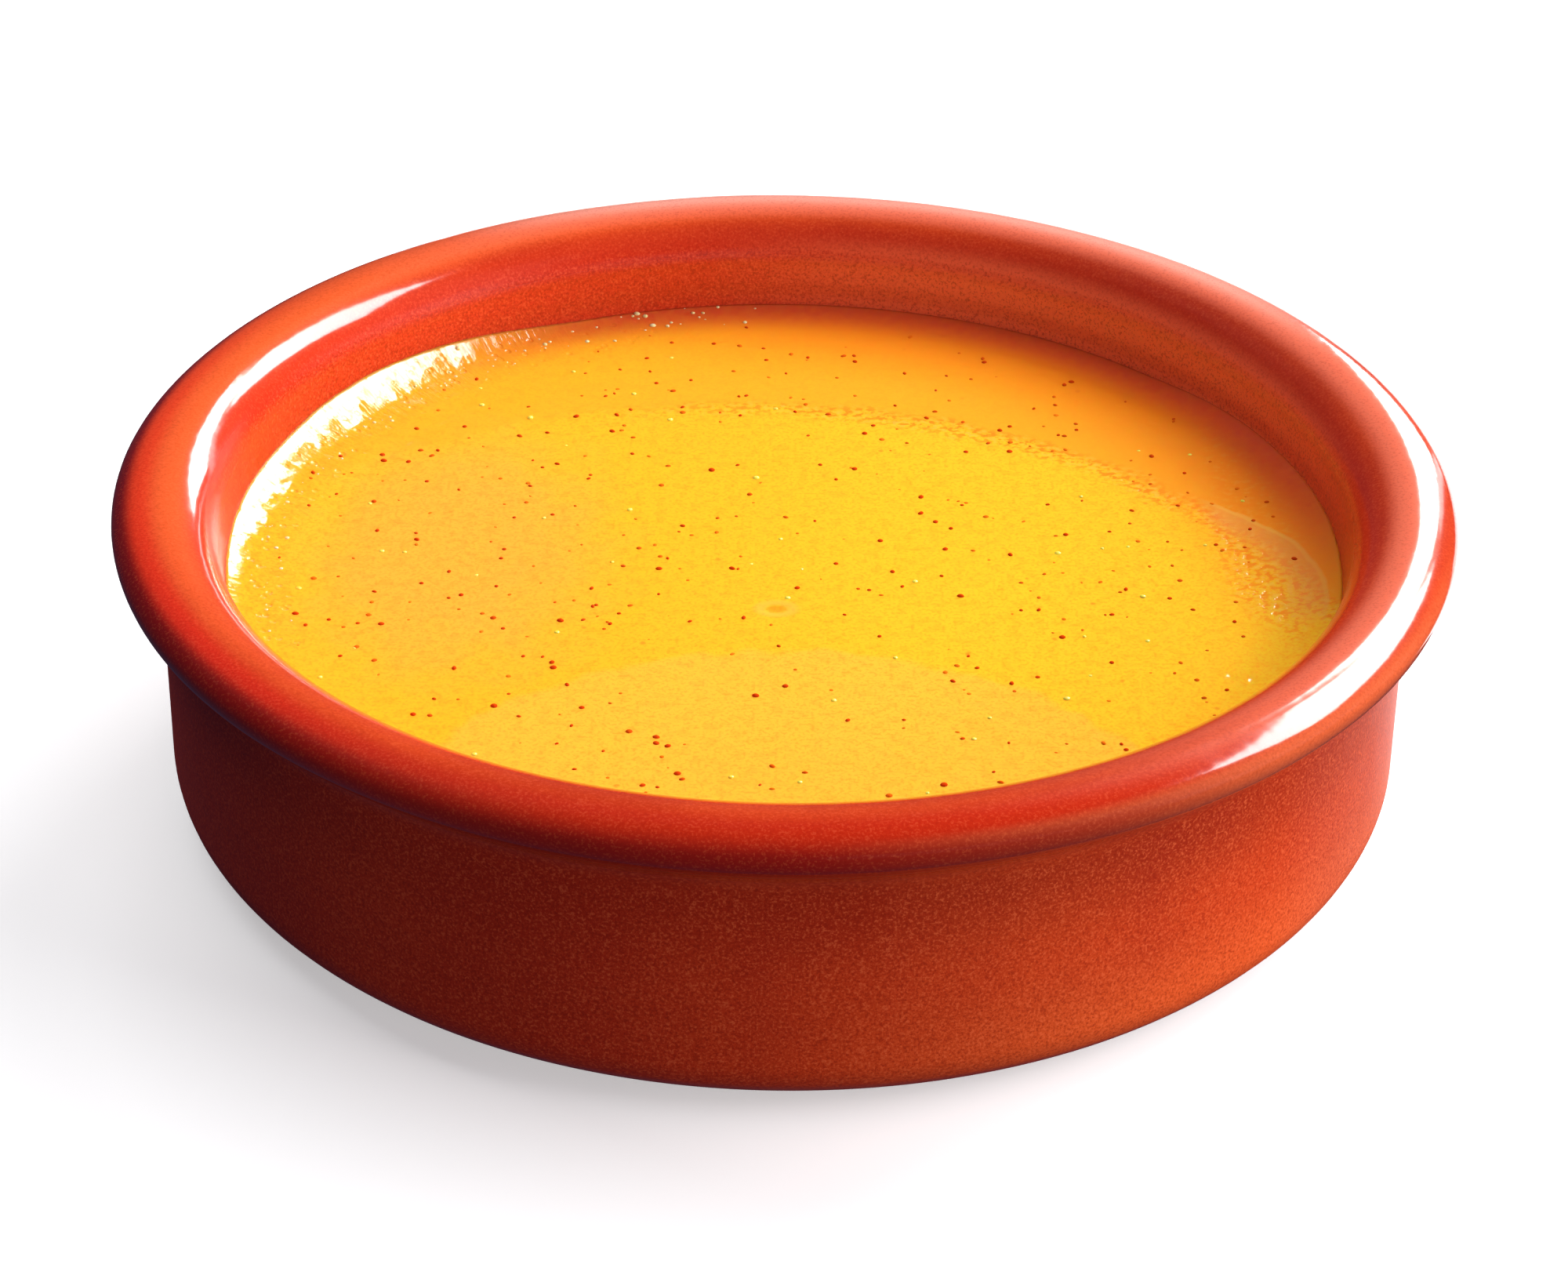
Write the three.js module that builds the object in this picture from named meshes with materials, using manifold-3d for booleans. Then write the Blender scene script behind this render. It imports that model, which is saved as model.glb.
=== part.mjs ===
// A baked vanilla cream in its own round earthenware dish.
// Millimetres, +Z up. The origin is the middle of the dish's flat underside, so the dish stands on z = 0.
// There are two separate pieces: the glazed dish, and the custard that fills it to a little under the rim.

import * as THREE from "three";
import { mergeVertices } from "three/addons/utils/BufferGeometryUtils.js";
import Module from "manifold-3d";

// Driving dimensions of the dish.
const RIM_RADIUS = 60; // widest point of the rolled rim
const HEIGHT = 30.4; // from the table to the crest of the rim
const WALL_RADIUS = 56; // outside of the upright wall
const FLOOR_THICKNESS = 4.6;

// Rolled rim: two quarter ellipses outside the crest and one inside it.
const RIM_CREST_RADIUS = 56;
const RIM_SHOULDER_DROP = 2; // crest down to the widest point
const RIM_UNDERSIDE_DROP = 3.1; // widest point down to where the roll would close
const RIM_INNER_WIDTH = 5.4; // crest in to the wall's inner face
const RIM_INNER_DROP = 5;

// Soft cove that joins the underside of the rim to the wall.
const COVE_START_HEIGHT = 22.4;
const COVE_PULL = 1.9; // how far the cove keeps to the wall before it turns outward
const COVE_END_ANGLE = THREE.MathUtils.degToRad(50); // below the widest point, on the underside's ellipse

// Rounded edge between the wall and the flat underside.
const FOOT_EDGE_WIDTH = 7.8;
const FOOT_EDGE_HEIGHT = 5.6;

// Inner wall: it leans in a little towards the floor, and meets it in a wide curve.
const INNER_WALL_LEAN = 0.13; // radius lost for each millimetre of depth
const INNER_CORNER_RADIUS = 9;

// Custard: the level in the middle, and the edge that clings to the wall.
const CUSTARD_LEVEL = 20.8;
const CUSTARD_SAG = 0.15; // how far the middle sinks below the level near the wall
const EDGE_RISE = 1.1; // climb of the custard at the wall
const EDGE_REACH = 1.7; // distance over which the climb dies away
const GAP = 0.3; // between custard and dish

// Long low swells in the baked surface.
const SWELL_HEIGHT = 0.09;
const SWELL_LENGTH = 31;
const SWELL_FADE_START = 36; // the swells die away between here and the wall

// Vanilla seeds half sunk in the surface.
const SEED_COUNT = 130;
const SEED_FIELD_RADIUS = 45.5;
const SEED_HALF_LENGTH = [0.3, 0.44];
const SEED_FLATNESS = [0.72, 0.95]; // width as a share of the length
const SEED_HALF_HEIGHT = 0.26;
const SEED_SUNK_SHARE = 0.25; // share of its half height that a seed's middle lies under the surface
const SEED_WANDER = 2.3; // how far a seed strays from its even place
const SEED_DRAW = 20617; // start of the random draw

// Fineness of the meshes.
const AROUND = 92;
const ARC_STEPS = 5;

/** Numbers from 0 to 1 that are the same on every run. */
function seededDraw(start) {
  let state = start;
  return () => {
    state = (state * 1664525 + 1013904223) % 4294967296;
    return state / 4294967296;
  };
}

/** Turns a profile of (radius, height) points about +Z into a closed solid. */
function turned(points) {
  const geometry = new THREE.LatheGeometry(points, AROUND);
  geometry.rotateX(Math.PI / 2);
  return geometry;
}

/** Inner face of the dish's wall, a given distance clear of it. */
function innerWallRadius(height, clearance = 0) {
  const depth = HEIGHT - RIM_INNER_DROP - height;
  return RIM_CREST_RADIUS - RIM_INNER_WIDTH - INNER_WALL_LEAN * depth - clearance;
}

/**
 * The curve from the wall down to the floor, as points from the wall inwards.
 * A clearance gives the same curve for what fills the dish.
 */
function innerCorner(clearance = 0) {
  const lean = Math.atan(INNER_WALL_LEAN);
  const radius = INNER_CORNER_RADIUS - clearance;
  const centreHeight = FLOOR_THICKNESS + INNER_CORNER_RADIUS;
  const wallThere = innerWallRadius(centreHeight);
  const centreRadius = wallThere - INNER_CORNER_RADIUS / Math.cos(lean);
  const points = [];
  for (let i = 0; i <= ARC_STEPS; i++) {
    const angle = -lean - (i / ARC_STEPS) * (Math.PI / 2 - lean);
    points.push(
      new THREE.Vector2(centreRadius + radius * Math.cos(angle), centreHeight + radius * Math.sin(angle)),
    );
  }
  return points;
}

/** Outline of the dish, from the middle of the underside, out, over the rim and back in to the axis. */
function dishProfile() {
  const widestHeight = HEIGHT - RIM_SHOULDER_DROP;
  const rimWidth = RIM_RADIUS - RIM_CREST_RADIUS;
  const coveEnd = new THREE.Vector2(
    RIM_CREST_RADIUS + rimWidth * Math.cos(COVE_END_ANGLE),
    widestHeight - RIM_UNDERSIDE_DROP * Math.sin(COVE_END_ANGLE),
  );
  const coveEndDirection = new THREE.Vector2(
    rimWidth * Math.sin(COVE_END_ANGLE),
    RIM_UNDERSIDE_DROP * Math.cos(COVE_END_ANGLE),
  ).normalize();
  const coveHandle = coveEnd.clone().addScaledVector(coveEndDirection, -COVE_PULL);

  const outside = new THREE.Path();
  outside.moveTo(0, 0);
  outside.lineTo(WALL_RADIUS - FOOT_EDGE_WIDTH, 0);
  outside.absellipse(
    WALL_RADIUS - FOOT_EDGE_WIDTH,
    FOOT_EDGE_HEIGHT,
    FOOT_EDGE_WIDTH,
    FOOT_EDGE_HEIGHT,
    -Math.PI / 2,
    0,
  );
  outside.lineTo(WALL_RADIUS, COVE_START_HEIGHT);
  outside.bezierCurveTo(
    WALL_RADIUS,
    COVE_START_HEIGHT + COVE_PULL,
    coveHandle.x,
    coveHandle.y,
    coveEnd.x,
    coveEnd.y,
  );
  outside.absellipse(RIM_CREST_RADIUS, widestHeight, rimWidth, RIM_UNDERSIDE_DROP, -COVE_END_ANGLE, 0);
  outside.absellipse(RIM_CREST_RADIUS, widestHeight, rimWidth, RIM_SHOULDER_DROP, 0, Math.PI / 2);

  const inside = new THREE.Path();
  inside.absellipse(
    RIM_CREST_RADIUS,
    HEIGHT - RIM_INNER_DROP,
    RIM_INNER_WIDTH,
    RIM_INNER_DROP,
    Math.PI / 2,
    Math.PI,
  );

  const points = [
    ...outside.getPoints(ARC_STEPS - 2),
    ...inside.getPoints(ARC_STEPS - 2).slice(1),
    ...innerCorner(),
    new THREE.Vector2(0, FLOOR_THICKNESS),
  ];
  return points;
}

/** Height of the custard at a radius, before the swells. */
function custardHeight(radius) {
  const wall = innerWallRadius(CUSTARD_LEVEL, GAP);
  const sag = CUSTARD_SAG * (1 - (radius / wall) ** 2);
  return CUSTARD_LEVEL - sag + EDGE_RISE * Math.exp((radius - wall) / EDGE_REACH);
}

/** Swells of the surface: two crossing sets of long waves that fade out before the wall. */
function swell(x, y) {
  const radius = Math.hypot(x, y);
  const fade = 1 - THREE.MathUtils.smoothstep(radius, SWELL_FADE_START, SEED_FIELD_RADIUS);
  const turn = (2 * Math.PI) / SWELL_LENGTH;
  const first = Math.sin(turn * (x + 0.4 * y) + 0.8);
  const second = Math.sin(turn * (0.9 * y - 0.3 * x) + 2.1);
  return SWELL_HEIGHT * fade * 0.5 * (first + second);
}

/** Outline of the custard, from the middle of its underside, up the wall and over its top to the axis. */
function custardProfile() {
  const wallTop = CUSTARD_LEVEL + EDGE_RISE;
  const rim = innerWallRadius(wallTop, GAP);
  const underside = new THREE.Vector2(0, FLOOR_THICKNESS + GAP);
  const stepsIn = [0, 0.7, 1.5, 2.6, 4.2, 7, 13, 21, 30, 40];
  const top = stepsIn.map((step) => new THREE.Vector2(rim - step, custardHeight(rim - step)));
  return [underside, ...innerCorner(GAP).reverse(), ...top, new THREE.Vector2(0, custardHeight(0))];
}

/** Raises every point of the custard's top by the swells. */
function withSwells(geometry) {
  const position = geometry.attributes.position;
  for (let i = 0; i < position.count; i++) {
    const x = position.getX(i);
    const y = position.getY(i);
    if (position.getZ(i) > CUSTARD_LEVEL - 1) {
      position.setZ(i, position.getZ(i) + swell(x, y));
    }
  }
  return geometry;
}

/** One seed: a faceted bean, turned at random and half sunk at its place. */
function seed(x, y, draw) {
  const length = THREE.MathUtils.lerp(SEED_HALF_LENGTH[0], SEED_HALF_LENGTH[1], draw());
  const width = length * THREE.MathUtils.lerp(SEED_FLATNESS[0], SEED_FLATNESS[1], draw());
  const height = custardHeight(Math.hypot(x, y)) + swell(x, y) - SEED_SUNK_SHARE * SEED_HALF_HEIGHT;
  const geometry = new THREE.IcosahedronGeometry(1, 0);
  geometry.scale(length, width, SEED_HALF_HEIGHT);
  geometry.rotateZ(draw() * Math.PI);
  geometry.translate(x, y, height);
  return geometry;
}

/** Even places for the seeds on a sunflower spiral, each strayed a little by the draw. */
function seedPlaces(draw) {
  const goldenTurn = Math.PI * (3 - Math.sqrt(5));
  const places = [];
  for (let i = 0; i < SEED_COUNT; i++) {
    const radius = (SEED_FIELD_RADIUS - SEED_WANDER) * Math.sqrt((i + 0.5) / SEED_COUNT);
    const angle = i * goldenTurn;
    const strayAngle = draw() * 2 * Math.PI;
    const stray = SEED_WANDER * Math.sqrt(draw());
    places.push([
      radius * Math.cos(angle) + stray * Math.cos(strayAngle),
      radius * Math.sin(angle) + stray * Math.sin(strayAngle),
    ]);
  }
  return places;
}

const wasm = await Module();
wasm.setup();

/** A closed three.js geometry as a solid that can be joined. */
function toSolid(geometry) {
  const bare = geometry.clone();
  bare.deleteAttribute("normal");
  bare.deleteAttribute("uv");
  const merged = mergeVertices(bare, 1e-4);
  const mesh = new wasm.Mesh({
    numProp: 3,
    vertProperties: new Float32Array(merged.attributes.position.array),
    triVerts: new Uint32Array(merged.index.array),
  });
  return new wasm.Manifold(mesh);
}

/** A joined solid back as a three.js geometry. */
function toGeometry(solid) {
  const mesh = solid.getMesh();
  const geometry = new THREE.BufferGeometry();
  geometry.setAttribute("position", new THREE.BufferAttribute(mesh.vertProperties, 3));
  geometry.setIndex(new THREE.BufferAttribute(mesh.triVerts, 1));
  geometry.computeVertexNormals();
  return geometry;
}

/** The custard with its seeds fused on. */
function custardGeometry() {
  const draw = seededDraw(SEED_DRAW);
  let solid = toSolid(withSwells(turned(custardProfile())));
  for (const [x, y] of seedPlaces(draw)) {
    solid = solid.add(toSolid(seed(x, y, draw)));
  }
  return toGeometry(solid);
}

const terracotta = new THREE.MeshStandardMaterial({ color: 0xd4451f, roughness: 0.22, metalness: 0 });
const vanillaCustard = new THREE.MeshStandardMaterial({ color: 0xfcc52f, roughness: 0.3, metalness: 0 });

const dish = new THREE.Mesh(turned(dishProfile()), terracotta);
dish.name = "dish";

const custard = new THREE.Mesh(custardGeometry(), vanillaCustard);
custard.name = "custard";

const cremeBrulee = new THREE.Group();
cremeBrulee.add(dish, custard);

export default cremeBrulee;
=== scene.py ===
# %% [markdown]
# # A vanilla custard in its earthenware dish
#
# Two things are on the table: a low round dish of orange-red glazed earthenware, and the custard that was
# baked in it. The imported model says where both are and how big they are. This lesson dresses them: the dish
# gets a smooth turned wall and a glaze, and the custard gets its skin, its seeds and its bubbles. Everything
# is in metres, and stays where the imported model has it.

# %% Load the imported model
import math

import bpy
import numpy as np
from mathutils import Matrix, Vector


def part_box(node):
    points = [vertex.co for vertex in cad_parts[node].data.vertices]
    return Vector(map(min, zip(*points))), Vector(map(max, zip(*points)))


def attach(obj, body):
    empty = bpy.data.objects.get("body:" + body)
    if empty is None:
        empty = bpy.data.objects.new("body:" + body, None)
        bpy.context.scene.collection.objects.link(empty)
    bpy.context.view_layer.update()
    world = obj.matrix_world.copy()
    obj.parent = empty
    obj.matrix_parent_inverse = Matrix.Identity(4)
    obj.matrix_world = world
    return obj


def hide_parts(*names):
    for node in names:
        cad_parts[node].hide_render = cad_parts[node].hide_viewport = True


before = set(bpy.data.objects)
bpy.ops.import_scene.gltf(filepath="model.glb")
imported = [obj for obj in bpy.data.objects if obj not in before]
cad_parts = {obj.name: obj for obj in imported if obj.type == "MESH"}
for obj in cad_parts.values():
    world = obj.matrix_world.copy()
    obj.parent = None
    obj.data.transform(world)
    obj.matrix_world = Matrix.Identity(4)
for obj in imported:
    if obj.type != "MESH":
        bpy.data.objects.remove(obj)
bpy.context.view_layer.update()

print("nodes:", sorted(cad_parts))

# %% [markdown]
# ## Sizes
#
# The dish was turned, so a few radii and heights say all of its shape. The rim's radius and the height come
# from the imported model. The others are steps in from the rim or down from the crest, the way a potter would
# give them. One millimetre has a name, because every size below is easier to read in millimetres.

# %% Sizes of the dish and the custard
MM = 0.001
RIM_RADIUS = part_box("dish")[1].x
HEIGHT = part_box("dish")[1].z
CREST_RADIUS = RIM_RADIUS - 4 * MM
WALL_RADIUS = RIM_RADIUS - 4 * MM
SHOULDER_DROP = 2 * MM
UNDERSIDE_DROP = 3.1 * MM
INNER_WIDTH = 5.4 * MM
INNER_DROP = 5 * MM
INNER_LEAN = 0.13
INNER_CORNER = 9 * MM
FLOOR_THICKNESS = 4.6 * MM
FOOT_WIDTH = 7.8 * MM
FOOT_HEIGHT = 5.6 * MM
INSIDE_RADIUS = RIM_RADIUS - 9 * MM
COVE_HEIGHT = HEIGHT - 8 * MM
COVE_PULL = 1.9 * MM
COVE_ANGLE = math.radians(50)

EDGE_RISE = 0.75 * MM
EDGE_REACH = 2.2 * MM
LEVEL = HEIGHT - 9.6 * MM
SAG = 0.15 * MM
OVERLAP = 0.1 * MM
FINE_EDGE = 9 * MM
WAVER_SIZE = 30 * MM


def inner_wall(height):
    """Radius of the inside of the wall at a height."""
    return CREST_RADIUS - INNER_WIDTH - INNER_LEAN * (HEIGHT - INNER_DROP - height)


print("custard level", round(LEVEL / MM, 2), "mm, wall there", round(inner_wall(LEVEL) / MM, 2), "mm")

# %% [markdown]
# ## Node trees written as sums
#
# Both shaders and Geometry Nodes are trees of small nodes. Laid out by hand they are hard to read in a
# script, so a small class wraps one output socket and lets Python's own signs add the nodes: `a * 2 + b`
# makes a Multiply and an Add. Colours and vectors go through Mix and Vector Math, because a Math node would
# turn them grey. Every other node comes from one method, `add`, which takes its type, its settings, and then
# its sockets. The short methods after it only name the nodes that are used most.


# %% A class that turns Python sums into nodes
class Wire:
    """One output socket, which can stand in a Python sum."""

    def __init__(self, net, socket):
        self.net = net
        self.socket = socket

    def output(self, name):
        """Another output of the same node."""
        return Wire(self.net, self.socket.node.outputs[name])

    def _pair(self, operation, first, second):
        wires = [v for v in (first, second) if isinstance(v, Wire)]
        if any(w.socket.type == "VECTOR" for w in wires):
            pair = [v if isinstance(v, Wire) else np.broadcast_to(v, 3).tolist() for v in (first, second)]
            return self.net.add("ShaderNodeVectorMath", {"operation": operation}, {0: pair[0], 1: pair[1]})
        return self.net.add("ShaderNodeMath", {"operation": operation}, {0: first, 1: second})

    def __add__(self, other):
        return self._pair("ADD", self, other)

    def __radd__(self, other):
        return self._pair("ADD", other, self)

    def __sub__(self, other):
        return self._pair("SUBTRACT", self, other)

    def __rsub__(self, other):
        return self._pair("SUBTRACT", other, self)

    def __mul__(self, other):
        return self._pair("MULTIPLY", self, other)

    def __truediv__(self, other):
        return self._pair("DIVIDE", self, other)

    def __rtruediv__(self, other):
        return self._pair("DIVIDE", other, self)

    def __pow__(self, other):
        return self._pair("POWER", self, other)

    def step(self, low, high):
        """0 below low, 1 above high and a smooth curve between them."""
        sockets = {"Value": self, "From Min": low, "From Max": high, "To Min": 0.0, "To Max": 1.0}
        return self.net.add("ShaderNodeMapRange", {"interpolation_type": "SMOOTHSTEP"}, sockets)

    def hump(self, rise, top, fall, end):
        """1 from top to fall, and down to 0 at rise and at end."""
        return self.step(rise, top) * (1 - self.step(fall, end))


class Net:
    """A node tree, and the one way to add a node to it."""

    def __init__(self, tree):
        self.tree = tree

    def add(self, kind, settings=None, sockets=None, out=0):
        """Adds a node of a type, gives it its settings, fills its sockets, and hands back an output."""
        node = self.tree.nodes.new(kind)
        for name, value in (settings or {}).items():
            setattr(node, name, value)
        for name, value in (sockets or {}).items():
            if isinstance(value, Wire):
                self.tree.links.new(value.socket, node.inputs[name])
            else:
                node.inputs[name].default_value = value
        return Wire(self, node.outputs[out]) if len(node.outputs) else node

    def blend(self, share, first, second):
        """The first colour where share is 0, and the second where it is 1."""
        pair = [v if isinstance(v, Wire) else (*v, 1.0) for v in (first, second)]
        return self.add("ShaderNodeMix", {"data_type": "RGBA"}, {0: share, 6: pair[0], 7: pair[1]}, out=2)

    def layered(self, colour, layers):
        """A colour under layers of paint, which are pairs of a share and a paint, the lowest first."""
        for share, paint in layers:
            colour = self.blend(share, colour, paint)
        return colour

    def length(self, vector):
        """How long a vector is."""
        return self.add("ShaderNodeVectorMath", {"operation": "LENGTH"}, {0: vector}, out="Value")

    def dot(self, first, second):
        """How far one vector goes along another."""
        pair = {0: first, 1: second}
        return self.add("ShaderNodeVectorMath", {"operation": "DOT_PRODUCT"}, pair, out="Value")

    def unit(self, vector):
        """The vector's direction, one long."""
        return self.add("ShaderNodeVectorMath", {"operation": "NORMALIZE"}, {0: vector})

    def cells(self, place, size):
        """Distance to the nearest of random spots, in units of their spacing, which is about size metres."""
        return self.add("ShaderNodeTexVoronoi", {"feature": "F1"}, {"Vector": place, "Scale": 1.0 / size})

    def bump(self, height, strength, distance):
        """A normal that leans with a height pattern."""
        return self.add("ShaderNodeBump", {}, {"Strength": strength, "Distance": distance, "Height": height})

    def math(self, operation, first, second=0.0):
        """One Math node, for what has no Python sign."""
        return self.add("ShaderNodeMath", {"operation": operation}, {0: first, 1: second})

    def split(self, vector):
        """A vector's three parts. The wire itself is X, and its outputs Y and Z are the others."""
        return self.add("ShaderNodeSeparateXYZ", {}, {"Vector": vector})

    def vector(self, **parts):
        """A vector made from the parts X, Y and Z. A part that isn't given is 0."""
        return self.add("ShaderNodeCombineXYZ", {}, parts)

    def across(self, place):
        """A place without its height, and that height."""
        parts = self.split(place)
        return self.vector(X=parts, Y=parts.output("Y")), parts.output("Z")

    def noise(self, place, size, detail=2.0, rough=0.5):
        """Soft noise round 0.5, whose lumps are about size metres across."""
        sockets = {"Vector": place, "Scale": 1.0 / size, "Detail": detail, "Roughness": rough}
        return self.add("ShaderNodeTexNoise", {}, sockets)


print("a sum such as 1 - mask now adds its own Math node")

# %% [markdown]
# ## The outline of the dish
#
# A turned pot is one outline spun round an axis. The outline runs from the middle of the underside, out round
# the foot edge, up the wall, through the cove, over the rolled rim and down the inside to the floor. Straight
# stretches get a few points, and each bend is an arc or a curve with as many as it needs to look smooth.


# %% Arcs and curves of an outline
def arc(centre_radius, centre_height, width, height, start, end, steps):
    """Points of an ellipse's arc. Angles are in degrees, 0 pointing out and 90 up."""
    angles = np.radians(np.linspace(start, end, steps + 1))
    return np.column_stack([centre_radius + width * np.cos(angles), centre_height + height * np.sin(angles)])


def bend(start, start_pull, end_pull, end, steps):
    """Points of a cubic curve through start and end, drawn towards the two pulls."""
    t = np.linspace(0, 1, steps + 1)[:, None]
    a, b, c, d = (np.array(p, float) for p in (start, start_pull, end_pull, end))
    return a * (1 - t) ** 3 + 3 * b * t * (1 - t) ** 2 + 3 * c * t**2 * (1 - t) + d * t**3


def line(start, end, steps):
    """Points of a straight stretch."""
    t = np.linspace(0, 1, steps + 1)[:, None]
    return np.array(start) * (1 - t) + np.array(end) * t


def joined(*stretches):
    """The stretches one after another, each without the point that it shares with the one before."""
    return np.vstack([stretches[0]] + [s[1:] for s in stretches[1:]])


def inner_corner(steps):
    """The wide curve from the inside of the wall down to the floor."""
    lean = math.atan(INNER_LEAN)
    height = FLOOR_THICKNESS + INNER_CORNER
    radius = inner_wall(height) - INNER_CORNER / math.cos(lean)
    return arc(radius, height, INNER_CORNER, INNER_CORNER, -math.degrees(lean), -90, steps)


def dish_outline():
    """The dish's outline as (radius, height) points."""
    widest = HEIGHT - SHOULDER_DROP
    roll = RIM_RADIUS - CREST_RADIUS
    under = arc(CREST_RADIUS, widest, roll, UNDERSIDE_DROP, -math.degrees(COVE_ANGLE), 0, 12)
    direction = np.array([roll * math.sin(COVE_ANGLE), UNDERSIDE_DROP * math.cos(COVE_ANGLE)])
    pull = under[0] - COVE_PULL * direction / np.linalg.norm(direction)
    foot = arc(WALL_RADIUS - FOOT_WIDTH, FOOT_HEIGHT, FOOT_WIDTH, FOOT_HEIGHT, -90, 0, 16)
    inside = inner_corner(12)
    return joined(
        line([0, 0], foot[0], 8),
        foot,
        line(foot[-1], [WALL_RADIUS, COVE_HEIGHT], 24),
        bend([WALL_RADIUS, COVE_HEIGHT], [WALL_RADIUS, COVE_HEIGHT + COVE_PULL], pull, under[0], 12),
        under,
        arc(CREST_RADIUS, widest, roll, SHOULDER_DROP, 0, 90, 14),
        arc(CREST_RADIUS, HEIGHT - INNER_DROP, INNER_WIDTH, INNER_DROP, 90, 180, 24),
        line([inner_wall(HEIGHT - INNER_DROP), HEIGHT - INNER_DROP], inside[0], 22),
        inside,
        line(inside[-1], [0, FLOOR_THICKNESS], 8),
    )


def custard_outline():
    """The custard's outline: out over the floor, up just inside the wall's skin, and in over the top."""
    edge = inner_wall(LEVEL + EDGE_RISE) + OVERLAP
    side = inner_corner(6)[::-1] + [OVERLAP, 0]
    fine = np.linspace(0, FINE_EDGE, 37)[:-1]
    coarse = np.linspace(FINE_EDGE, edge, 84)
    radius = edge - np.concatenate([fine, coarse])
    flat_edge = inner_wall(LEVEL)
    height = LEVEL - SAG * (1 - (radius / flat_edge) ** 2)
    height += EDGE_RISE * np.exp(np.minimum(radius - flat_edge, OVERLAP) / EDGE_REACH)
    return joined(
        line([0, side[0][1]], side[0], 4),
        side,
        line(side[-1], [edge, height[0]], 6),
        np.column_stack([radius, height]),
    )


print("points: dish", len(dish_outline()), "custard", len(custard_outline()))

# %% [markdown]
# ## Turning an outline with Geometry Nodes
#
# Blender has a Screw modifier and a Spin tool, but a small node tree does the same with named inputs, and it
# can add the slight waver of a hand-turned pot. A flat grid is the stuff it is made of: one side of the grid
# counts the outline's points and the other goes round. Each grid point looks up its outline point by number,
# and is set at that radius and height. The seam and the two poles are then closed by merging points that lie
# together.


# %% The turning tree
MERGE_DISTANCE = 0.002 * MM


def geometry_tree(name, inputs):
    """A new Geometry Nodes tree. Its inputs are named by kind. Gives its net, and a wire for each input."""
    group = bpy.data.node_groups.new(name, "GeometryNodeTree")
    for kind, labels in inputs.items():
        for label in labels:
            group.interface.new_socket(name=label, in_out="INPUT", socket_type="NodeSocket" + kind)
    group.interface.new_socket(name="Geometry", in_out="OUTPUT", socket_type="NodeSocketGeometry")
    net = Net(group)
    first = net.add("NodeGroupInput")
    return net, {label: first.output(label) for labels in inputs.values() for label in labels}


def end_tree(net, geometry, material):
    """Realizes instances, sets the material, and joins the result to the tree's output."""
    real = net.add("GeometryNodeRealizeInstances", {}, {"Geometry": geometry})
    painted = net.add("GeometryNodeSetMaterial", {}, {"Geometry": real, "Material": material})
    net.add("NodeGroupOutput", {}, {"Geometry": painted})
    return net.tree


def turning_tree():
    """Spins the points of an outline object about +Z."""
    net, given = geometry_tree("turn_outline", {
        "Object": ["Outline"],
        "Int": ["Points", "Around"],
        "Float": ["Waver", "Waver Size"],
        "Material": ["Material"],
    })
    outline = net.add("GeometryNodeObjectInfo", {}, {"Object": given["Outline"]}).output("Geometry")
    grid = net.add(
        "GeometryNodeMeshGrid", {},
        {"Size X": 1.0, "Size Y": 1.0, "Vertices X": given["Around"] + 1, "Vertices Y": given["Points"]},
    )
    place = net.add("GeometryNodeInputPosition")
    cell = net.split(place)
    turn = (cell + 0.5) * math.tau
    number = (cell.output("Y") + 0.5) * (given["Points"] - 1)
    number = net.add("FunctionNodeFloatToInt", {"rounding_mode": "ROUND"}, {"Float": number})
    spot = net.add("GeometryNodeSampleIndex", {"data_type": "FLOAT_VECTOR"},
                   {"Geometry": outline, "Value": place, "Index": number})
    spot = net.split(spot)
    across = spot * net.math("COSINE", turn)
    along = spot * net.math("SINE", turn)
    spun = net.vector(X=across, Y=along, Z=spot.output("Z"))
    wheel = net.add("GeometryNodeSetPosition", {}, {"Geometry": grid, "Position": spun})
    closed = net.add("GeometryNodeMergeByDistance", {}, {"Geometry": wheel, "Distance": MERGE_DISTANCE})
    height = net.split(place).output("Z")
    lump = net.noise(place, given["Waver Size"], detail=1.0)
    shrink = lump * given["Waver"] * height.step(0.2 * MM, 6 * MM) * -1.0
    normal = net.add("GeometryNodeInputNormal")
    wavered = net.add("GeometryNodeSetPosition", {}, {"Geometry": closed, "Offset": normal * shrink})
    smooth = net.add("GeometryNodeSetShadeSmooth", {}, {0: wavered})
    return end_tree(net, smooth, given["Material"])


TURNING = turning_tree()
print("turning tree:", len(TURNING.nodes), "nodes")

# %% [markdown]
# A modifier only shows its result. To keep it, the evaluated object is turned into a plain mesh, and a new
# object carries that mesh. The modifier and the helper objects are then thrown away, so nothing live is left
# behind.


# %% From a tree to a plain mesh
def link(thing):
    """Puts an object in the scene."""
    bpy.context.scene.collection.objects.link(thing)
    return thing


def plain_mesh(name, source, trees):
    """Runs Geometry Nodes trees on an object, one after another, and gives a plain mesh object."""
    for tree, inputs in trees:
        modifier = source.modifiers.new(tree.name, "NODES")
        modifier.node_group = tree
        sockets = {s.name: s.identifier for s in tree.interface.items_tree if s.in_out == "INPUT"}
        for label, value in inputs.items():
            modifier[sockets[label]] = value
    depsgraph = bpy.context.evaluated_depsgraph_get()
    mesh = bpy.data.meshes.new_from_object(source.evaluated_get(depsgraph))
    mesh.name = name
    bpy.data.objects.remove(source)
    return link(bpy.data.objects.new(name, mesh))


def outline_object(points):
    """An object whose vertices are an outline's points, in order."""
    mesh = bpy.data.meshes.new("outline")
    mesh.from_pydata([(r, 0.0, z) for r, z in points], [(i, i + 1) for i in range(len(points) - 1)], [])
    return link(bpy.data.objects.new("outline", mesh))


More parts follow.
